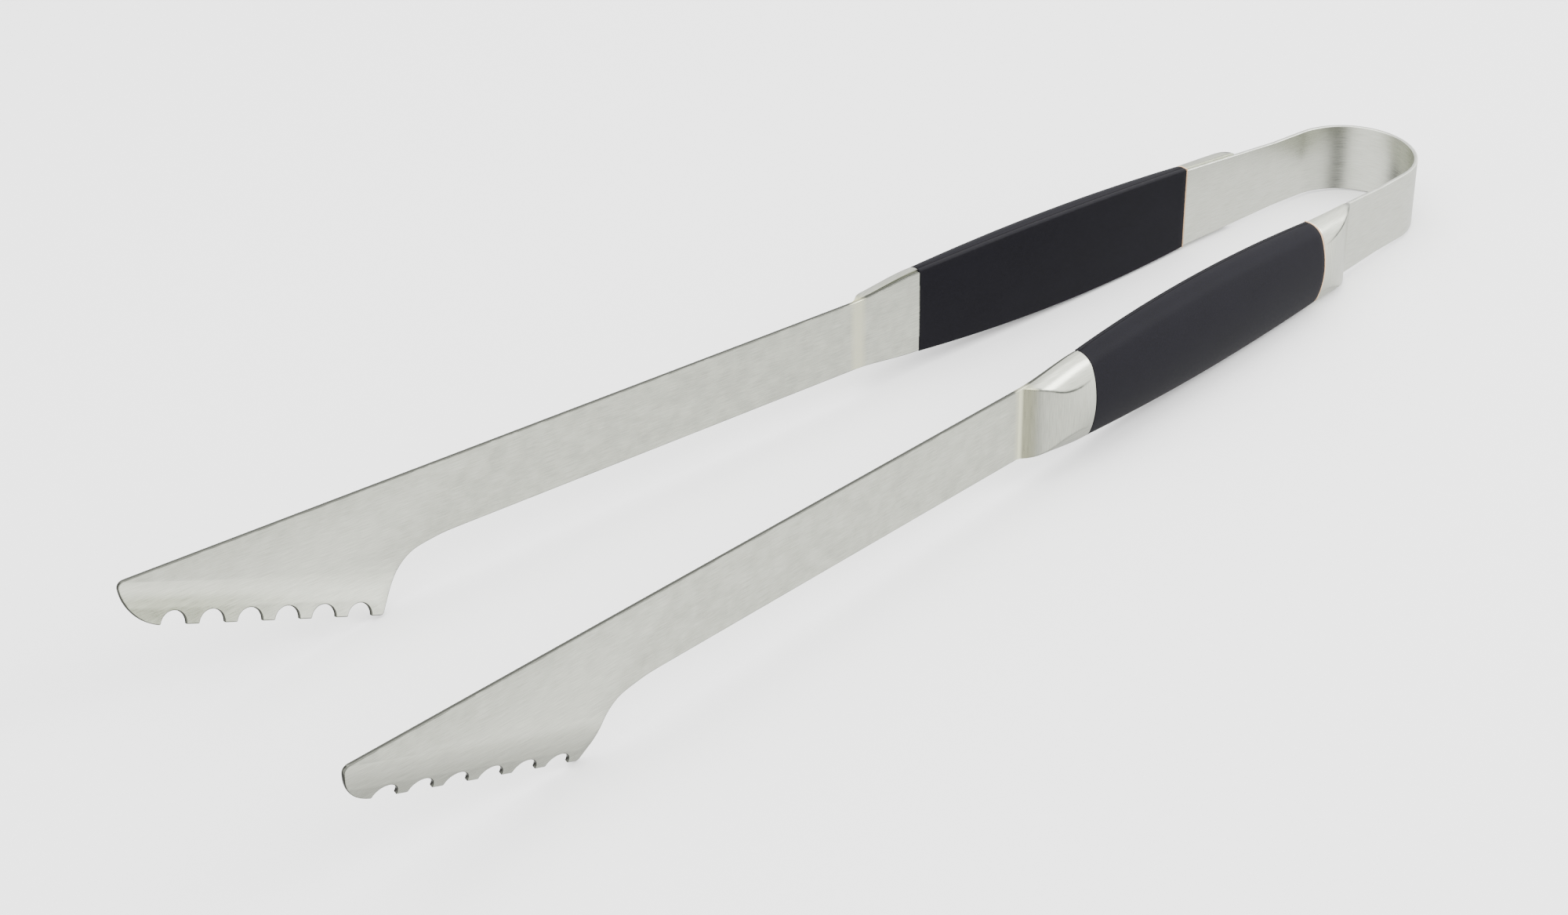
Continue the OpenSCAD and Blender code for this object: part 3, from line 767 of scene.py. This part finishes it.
# %% [markdown]
# Several finishes share the same effects, so each effect is a node group with named inputs.
# Brushing is noise stretched twenty-five times along the direction of the stroke: fine lines for
# the grain, and a second, coarser layer for the uneven passes of the belt. It reads the strip's own
# UV, in metres, so that the lines follow the metal round the bow.

# %% Shader helpers and the brushing group


def new_group(name, inputs, outputs):
    group = bpy.data.node_groups.new(name, "ShaderNodeTree")
    for label, kind, value in inputs:
        socket = group.interface.new_socket(label, in_out="INPUT", socket_type=kind)
        if value is not None:
            socket.default_value = value
    for label, kind in outputs:
        group.interface.new_socket(label, in_out="OUTPUT", socket_type=kind)
    return group, group.nodes.new("NodeGroupInput"), group.nodes.new("NodeGroupOutput")


def math_node(tree, operation, first, second=None, clamp=False):
    made = add(tree, "ShaderNodeMath", {0: first}, operation=operation, use_clamp=clamp)
    if isinstance(second, bpy.types.NodeSocket):
        tree.links.new(second, made.inputs[1])
    elif second is not None:
        made.inputs[1].default_value = second
    return made.outputs[0]


def blend_colour(tree, factor, first, second, how="MIX"):
    made = tree.nodes.new("ShaderNodeMix")
    made.data_type, made.blend_type = "RGBA", how
    for slot, value in ((0, factor), (6, first), (7, second)):
        if isinstance(value, bpy.types.NodeSocket):
            tree.links.new(value, made.inputs[slot])
        else:
            made.inputs[slot].default_value = value
    return made.outputs[2]


def spread(tree, value, low, high, to_low, to_high):
    """Maps a value from one range to another and clamps it."""
    made = add(tree, "ShaderNodeMapRange", {
        "Value": value, "From Min": low, "From Max": high, "To Min": to_low, "To Max": to_high})
    return made.outputs["Result"]


brushing, given, result = new_group("brushed_lines", [
    ("Vector", "NodeSocketVector", None), ("Line length", "NodeSocketFloat", 0.02),
    ("Line width", "NodeSocketFloat", 0.0002)],
    [("Grain", "NodeSocketFloat"), ("Streaks", "NodeSocketFloat")])
parts = add(brushing, "ShaderNodeSeparateXYZ", {0: given.outputs["Vector"]})
long_way = math_node(brushing, "DIVIDE", parts.outputs["X"], given.outputs["Line length"])
short_way = math_node(brushing, "DIVIDE", parts.outputs["Y"], given.outputs["Line width"])
fine = add(brushing, "ShaderNodeCombineXYZ", {"X": long_way, "Y": short_way})
grain = add(brushing, "ShaderNodeTexNoise", {"Vector": fine.outputs[0], "Scale": 1.0, "Detail": 4.0,
                                             "Roughness": 0.65}, noise_dimensions="2D")
wide = add(brushing, "ShaderNodeCombineXYZ", {
    "X": math_node(brushing, "MULTIPLY", long_way, 0.35),
    "Y": math_node(brushing, "MULTIPLY", short_way, 0.12)})
streaks = add(brushing, "ShaderNodeTexNoise", {"Vector": wide.outputs[0], "Scale": 1.0, "Detail": 2.0,
                                               "Roughness": 0.5}, noise_dimensions="2D")
brushing.links.new(grain.outputs["Fac"], result.inputs["Grain"])
brushing.links.new(streaks.outputs["Fac"], result.inputs["Streaks"])
print("group:", brushing.name, [s.name for s in brushing.interface.items_tree])

# %% [markdown]
# Edges carry painted light: a painted dark line of shade along the blades' cut edges and the bolsters'
# ridges, and a painted highlight along the strip's rims and the grip's edges. Most meshes carry an edge
# mask, and this group breaks it up with a little noise so that the line isn't perfectly even. A second small
# group gives the fine pebbled speckle of moulded plastic.

# %% Painted edge light and speckle groups
edge_light_group, given, result = new_group("painted_edge_light", [
    ("Mask", "NodeSocketFloat", 0.0), ("Vector", "NodeSocketVector", None),
    ("Patch size", "NodeSocketFloat", 0.004), ("Amount", "NodeSocketFloat", 1.0)],
    [("Painted edge", "NodeSocketFloat")])
size = math_node(edge_light_group, "DIVIDE", 1.0, given.outputs["Patch size"])
patch = add(edge_light_group, "ShaderNodeTexNoise", {"Vector": given.outputs["Vector"], "Scale": size,
                                         "Detail": 3.0})
broken = spread(edge_light_group, patch.outputs["Fac"], 0.35, 0.65, 0.55, 1.0)
painted_edge = math_node(edge_light_group, "MULTIPLY", math_node(edge_light_group, "MULTIPLY", given.outputs["Mask"], broken),
                 given.outputs["Amount"], clamp=True)
edge_light_group.links.new(painted_edge, result.inputs["Painted edge"])

speckle, given, result = new_group("moulded_speckle", [
    ("Vector", "NodeSocketVector", None), ("Grain size", "NodeSocketFloat", 0.0004)],
    [("Speckle", "NodeSocketFloat"), ("Cloud", "NodeSocketFloat")])
size = math_node(speckle, "DIVIDE", 1.0, given.outputs["Grain size"])
dots = add(speckle, "ShaderNodeTexNoise", {"Vector": given.outputs["Vector"], "Scale": size,
                                           "Detail": 2.0, "Roughness": 0.6})
cloud = add(speckle, "ShaderNodeTexNoise", {"Vector": given.outputs["Vector"], "Scale": 90.0,
                                            "Detail": 2.0})
speckle.links.new(dots.outputs["Fac"], result.inputs["Speckle"])
speckle.links.new(cloud.outputs["Fac"], result.inputs["Cloud"])
print("groups:", edge_light_group.name, speckle.name)

# %% [markdown]
# The steel is satin stainless, a warm light grey. The brushing lightens and darkens it a little and
# changes the roughness, and very shallow grooves do the rest. Where a ramp has been pressed, the
# grain runs across the strip instead of along it, and the facet mask chooses between the two. The
# blades get brighter towards the jaw and darker towards the handle, which is painted shade. The bend at each
# front toe keeps a faint straw-coloured band, which on the bolsters is also a painted highlight.

# %% Brushed steel


def new_material(name):
    made = bpy.data.materials.new(name)
    made.use_nodes = True
    tree = made.node_tree
    tree.nodes.clear()
    shader = tree.nodes.new("ShaderNodeBsdfPrincipled")
    out = tree.nodes.new("ShaderNodeOutputMaterial")
    tree.links.new(shader.outputs[0], out.inputs[0])
    return made, tree, shader


def use_group(tree, group, inputs):
    made = tree.nodes.new("ShaderNodeGroup")
    made.node_tree = group
    for key, value in inputs.items():
        if isinstance(value, bpy.types.NodeSocket):
            tree.links.new(value, made.inputs[key])
        else:
            made.inputs[key].default_value = value
    return made.outputs


def steel(name, tone_and_shade, edge_colour, edge_amount, pressed=None, straw_and_highlight_colour=None):
    made, tree, shader = new_material(name)
    strip = add(tree, "ShaderNodeUVMap", uv_map="strip").outputs[0]
    place = add(tree, "ShaderNodeTexCoord").outputs["Object"]
    mask = add(tree, "ShaderNodeAttribute", attribute_name="edge").outputs["Fac"]
    facet = add(tree, "ShaderNodeAttribute", attribute_name="facet").outputs["Fac"]
    part = add(tree, "ShaderNodeSeparateXYZ", {0: strip})
    turned = add(tree, "ShaderNodeCombineXYZ", {"X": part.outputs["Y"], "Y": part.outputs["X"]})
    along = use_group(tree, brushing, {"Vector": strip, "Line length": 0.006, "Line width": 0.00024})
    across = use_group(tree, brushing, {"Vector": turned.outputs[0], "Line length": 0.006,
                                        "Line width": 0.00024})
    grain = add(tree, "ShaderNodeMix", {0: facet, 2: along["Grain"], 3: across["Grain"]}).outputs[0]
    streak = add(tree, "ShaderNodeMix", {0: facet, 2: along["Streaks"], 3: across["Streaks"]}).outputs[0]
    shade = math_node(tree, "ADD", math_node(tree, "MULTIPLY", grain, 0.92),
                      math_node(tree, "MULTIPLY", streak, 0.08))
    metal = blend_colour(tree, spread(tree, shade, 0.34, 0.66, 0, 1),
                         (0.54, 0.555, 0.475, 1), (0.72, 0.737, 0.635, 1))
    # Painted shade: on the blades this ramp darkens the steel towards the handle and lifts it towards the
    # jaw; the strip and bolsters get one even tone.
    tone_and_painted_shade = spread(tree, part.outputs["X"], 0.19, 0.33, tone_and_shade[0], tone_and_shade[1])
    metal = blend_colour(tree, 1.0, metal, tone_and_painted_shade, "MULTIPLY")
    # Painted edge light: the edge mask blends in the edge colour, a painted highlight on the strip and
    # painted shade on the blades and bolsters.
    painted_edge = use_group(tree, edge_light_group, {"Mask": mask, "Vector": place, "Patch size": 0.005,
                                 "Amount": edge_amount})["Painted edge"]
    metal = blend_colour(tree, painted_edge, metal, edge_colour)
    # The straw band at the front toes is a real straw tint; on the bolsters its colour is lighter than the
    # steel, a painted highlight.
    if pressed:
        band = math_node(tree, "ABSOLUTE", math_node(tree, "SUBTRACT", part.outputs["X"], pressed))
        straw_and_highlight = spread(tree, band, 0.0010, 0.0034, 0.8, 0.0)
        metal = blend_colour(tree, straw_and_highlight, metal, straw_and_highlight_colour)
    rough = spread(tree, grain, 0.3, 0.7, 0.27, 0.33)
    rough = math_node(tree, "SUBTRACT", rough, math_node(tree, "MULTIPLY", painted_edge, 0.08))
    groove = add(tree, "ShaderNodeBump", {"Height": grain, "Strength": 0.06, "Distance": 0.00006})
    shader.inputs["Metallic"].default_value = 1.0
    shader.inputs["Anisotropic"].default_value = 0.45
    tangent = add(tree, "ShaderNodeTangent", direction_type="UV_MAP", uv_map="strip")
    tree.links.new(tangent.outputs[0], shader.inputs["Tangent"])
    tree.links.new(metal, shader.inputs["Base Color"])
    tree.links.new(rough, shader.inputs["Roughness"])
    tree.links.new(groove.outputs[0], shader.inputs["Normal"])
    return made


PRESSED_AT = 0.187   # middle of the band at the front toes, in metres along the arm
# The strip's edge colour is a painted highlight on its rims.
strip_steel = steel("satin_strip_steel", (0.76, 0.76), (0.66, 0.67, 0.63, 1), 0.6)
# The blade's dark edge colour is painted shade on its cut edges.
blade_steel = steel("satin_blade_steel", (0.94, 1.14), (0.09, 0.093, 0.08, 1), 2.0,
                    PRESSED_AT, (0.64, 0.64, 0.47, 1))
# The bolster's dark edge colour is painted shade on its ridges; its straw colour is partly a painted
# highlight.
bolster_steel = steel("pressed_bolster_steel", (0.80, 0.80), (0.08, 0.084, 0.074, 1), 1.2,
                      PRESSED_AT, (0.86, 0.865, 0.60, 1))
print("steels:", strip_steel.name, blade_steel.name, bolster_steel.name)

# %% [markdown]
# The grips are moulded in a matte, slightly soft black plastic. Close up it has a fine pebbled
# grain, which scatters the light and makes the black look a little grey. A weak sheen stands for
# the soft-touch skin, and the edges get a painted highlight, a shade lighter.

# %% Grip, spacer, rivet and floor materials


def grip_plastic(name, dark, light):
    made, tree, shader = new_material(name)
    place = add(tree, "ShaderNodeTexCoord").outputs["Object"]
    mask = add(tree, "ShaderNodeAttribute", attribute_name="edge").outputs["Fac"]
    grain = use_group(tree, speckle, {"Vector": place, "Grain size": 0.00035})
    colour = blend_colour(tree, spread(tree, grain["Speckle"], 0.35, 0.68, 0, 1), dark, light)
    cloudy = spread(tree, grain["Cloud"], 0.3, 0.7, 0.0, 0.25)
    colour = blend_colour(tree, cloudy, colour, light)
    # Painted highlight: the edge mask lightens the black towards the edge colour below.
    painted_edge = use_group(tree, edge_light_group, {"Mask": mask, "Vector": place, "Patch size": 0.003,
                                  "Amount": 0.5})["Painted edge"]
    colour = blend_colour(tree, painted_edge, colour, (0.011, 0.0105, 0.012, 1))
    rough = spread(tree, grain["Speckle"], 0.3, 0.7, 0.52, 0.66)
    pebble = add(tree, "ShaderNodeBump", {"Height": grain["Speckle"], "Strength": 0.35,
                                          "Distance": 0.00012})
    shader.inputs["Specular IOR Level"].default_value = 0.09
    shader.inputs["Sheen Weight"].default_value = 0.006
    shader.inputs["Sheen Roughness"].default_value = 0.5
    tree.links.new(colour, shader.inputs["Base Color"])
    tree.links.new(rough, shader.inputs["Roughness"])
    tree.links.new(pebble.outputs[0], shader.inputs["Normal"])
    return made


black_plastic = grip_plastic("soft_touch_black", (0.0018, 0.0017, 0.0030, 1),
                             (0.0056, 0.0053, 0.0086, 1))


def speckled(name, size, dark, light, rough, constants):
    """A plain finish: a fine speckle between two colours, and a roughness that may drift."""
    made, tree, shader = new_material(name)
    place = add(tree, "ShaderNodeTexCoord").outputs["Object"]
    grain = use_group(tree, speckle, {"Vector": place, "Grain size": size})
    tree.links.new(blend_colour(tree, grain["Speckle"], dark, light), shader.inputs["Base Color"])
    if rough:
        tree.links.new(spread(tree, grain["Cloud"], 0.3, 0.7, *rough), shader.inputs["Roughness"])
    for key, value in constants.items():
        shader.inputs[key].default_value = value
    return made


tan_plastic = speckled("spacer_tan_plastic", 0.0003, (0.36, 0.22, 0.12, 1), (0.62, 0.42, 0.26, 1),
                       (0.4, 0.55), {})
turned_steel = speckled("rivet_steel_turned", 0.0002, (0.42, 0.42, 0.43, 1), (0.6, 0.6, 0.6, 1),
                        (0.3, 0.45), {"Metallic": 1.0})
pale_paper = speckled("pale_paper", 0.004, (0.90, 0.90, 0.90, 1), (0.92, 0.92, 0.92, 1),
                      None, {"Roughness": 0.9, "Specular IOR Level": 0.1})


def dress(obj, material):
    obj.data.materials.clear()
    obj.data.materials.append(material)


for name, obj in pieces_made.items():
    if "grip" in name:
        dress(obj, black_plastic)
    elif "spacer" in name:
        dress(obj, tan_plastic)
    elif "bolster" in name:
        dress(obj, bolster_steel)
    elif "blade" in name:
        dress(obj, blade_steel)
    else:
        dress(obj, strip_steel)
for side in ("right", "left"):
    dress(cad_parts[f"{side}_tang_rivets"], turned_steel)
print("dressed:", len(pieces_made), "pieces and the rivets")

# %% [markdown]
# The stage is a wide pale floor and soft light from all round, with one large soft panel above and
# a smaller one at the side. Metal shows what surrounds it, so the room is brighter above than below
# and has three darker gaps round the compass, which draw the dark stripes in the bow. The floor
# isn't seen in the metal, so the room alone decides where the bands run.

# %% Stage and light
floor_mesh = bpy.data.meshes.new("floor")
floor_mesh.from_pydata([(-6, -6, 0), (6, -6, 0), (6, 6, 0), (-6, 6, 0)], [], [(0, 1, 2, 3)])
floor = bpy.data.objects.new("floor", floor_mesh)
bpy.context.scene.collection.objects.link(floor)
floor.location.z = -0.0002
dress(floor, pale_paper)
floor.visible_glossy = False

world = bpy.data.worlds.new("pale_room")
bpy.context.scene.world = world
world.use_nodes = True
room = world.node_tree


def ramp(tree, value, stops):
    """A colour ramp of grey levels; each stop is (position, level)."""
    made = add(tree, "ShaderNodeValToRGB", {0: value})
    made.color_ramp.interpolation = "EASE"
    while len(made.color_ramp.elements) < len(stops):
        made.color_ramp.elements.new(0.5)
    for element, (position, level) in zip(made.color_ramp.elements, stops):
        element.position, element.color = position, (level, level, level, 1)
    return made.outputs[0]


way = add(room, "ShaderNodeSeparateXYZ", {0: add(room, "ShaderNodeTexCoord").outputs["Generated"]})
height = spread(room, way.outputs["Z"], -1, 1, 0, 1)
by_height = ramp(room, height, [
    (0.0, 0.22), (0.12, 0.36), (0.25, 0.60), (0.42, 0.75), (0.6, 0.92), (1.0, 1.0)])
compass = math_node(room, "ARCTAN2", way.outputs["Y"], way.outputs["X"])
compass = spread(room, compass, -math.pi, math.pi, 0, 1)
by_compass = ramp(room, compass, [
    (0.0, 1.0), (0.09, 1.0), (0.14, 0.14), (0.17, 0.14), (0.23, 0.84), (0.33, 0.84), (0.39, 1.0),
    (0.5, 0.9), (0.56, 0.84), (0.62, 0.45), (0.68, 0.45), (0.76, 0.86), (0.83, 0.12), (0.86, 0.12),
    (0.92, 1.0)])
light = blend_colour(room, 1.0, by_height, by_compass, "MULTIPLY")
sky = room.nodes["Background"]
room.links.new(light, sky.inputs["Color"])
sky.inputs["Strength"].default_value = 3.9


def panel(name, where, towards, size, power):
    light = bpy.data.lights.new(name, "AREA")
    light.shape, light.size, light.size_y, light.energy = "RECTANGLE", size[0], size[1], power
    obj = bpy.data.objects.new(name, light)
    bpy.context.scene.collection.objects.link(obj)
    obj.location = where
    obj.rotation_mode = "QUATERNION"
    obj.rotation_quaternion = (Vector(towards) - Vector(where)).to_track_quat("-Z", "Y")
    return obj


panel("overhead_panel", (-0.1, 0.25, 1.3), (0, 0, 0), (1.4, 1.0), 16)
panel("side_panel", (0.72, -0.68, 0.85), (0, 0, 0.02), (0.6, 0.6), 11)
print("stage ready")

# %% [markdown]
# The camera stands in front and to the left of the jaws and looks down on the tongs. A 68 mm
# lens from about 85 cm away keeps the perspective gentle. `to_track_quat` aims it, and a small
# turn about its own axis gives the slight roll.

# %% Camera
lens = bpy.data.cameras.new("camera")
lens.lens, lens.sensor_width = 68.0, 36.0
camera = bpy.data.objects.new("camera", lens)
bpy.context.scene.collection.objects.link(camera)
camera.location = (-0.4843, -0.5399, 0.4818)
aim = Vector((-0.0359, 0.0080, 0.0139)) - camera.location
camera.rotation_mode = "QUATERNION"
camera.rotation_quaternion = (aim.to_track_quat("-Z", "Y")
                              @ Quaternion((0, 0, 1), math.radians(-3.28)))
lens.clip_start, lens.clip_end = 0.01, 20
bpy.context.scene.camera = camera
print("camera is", round(aim.length * 1000), "mm from its aim")
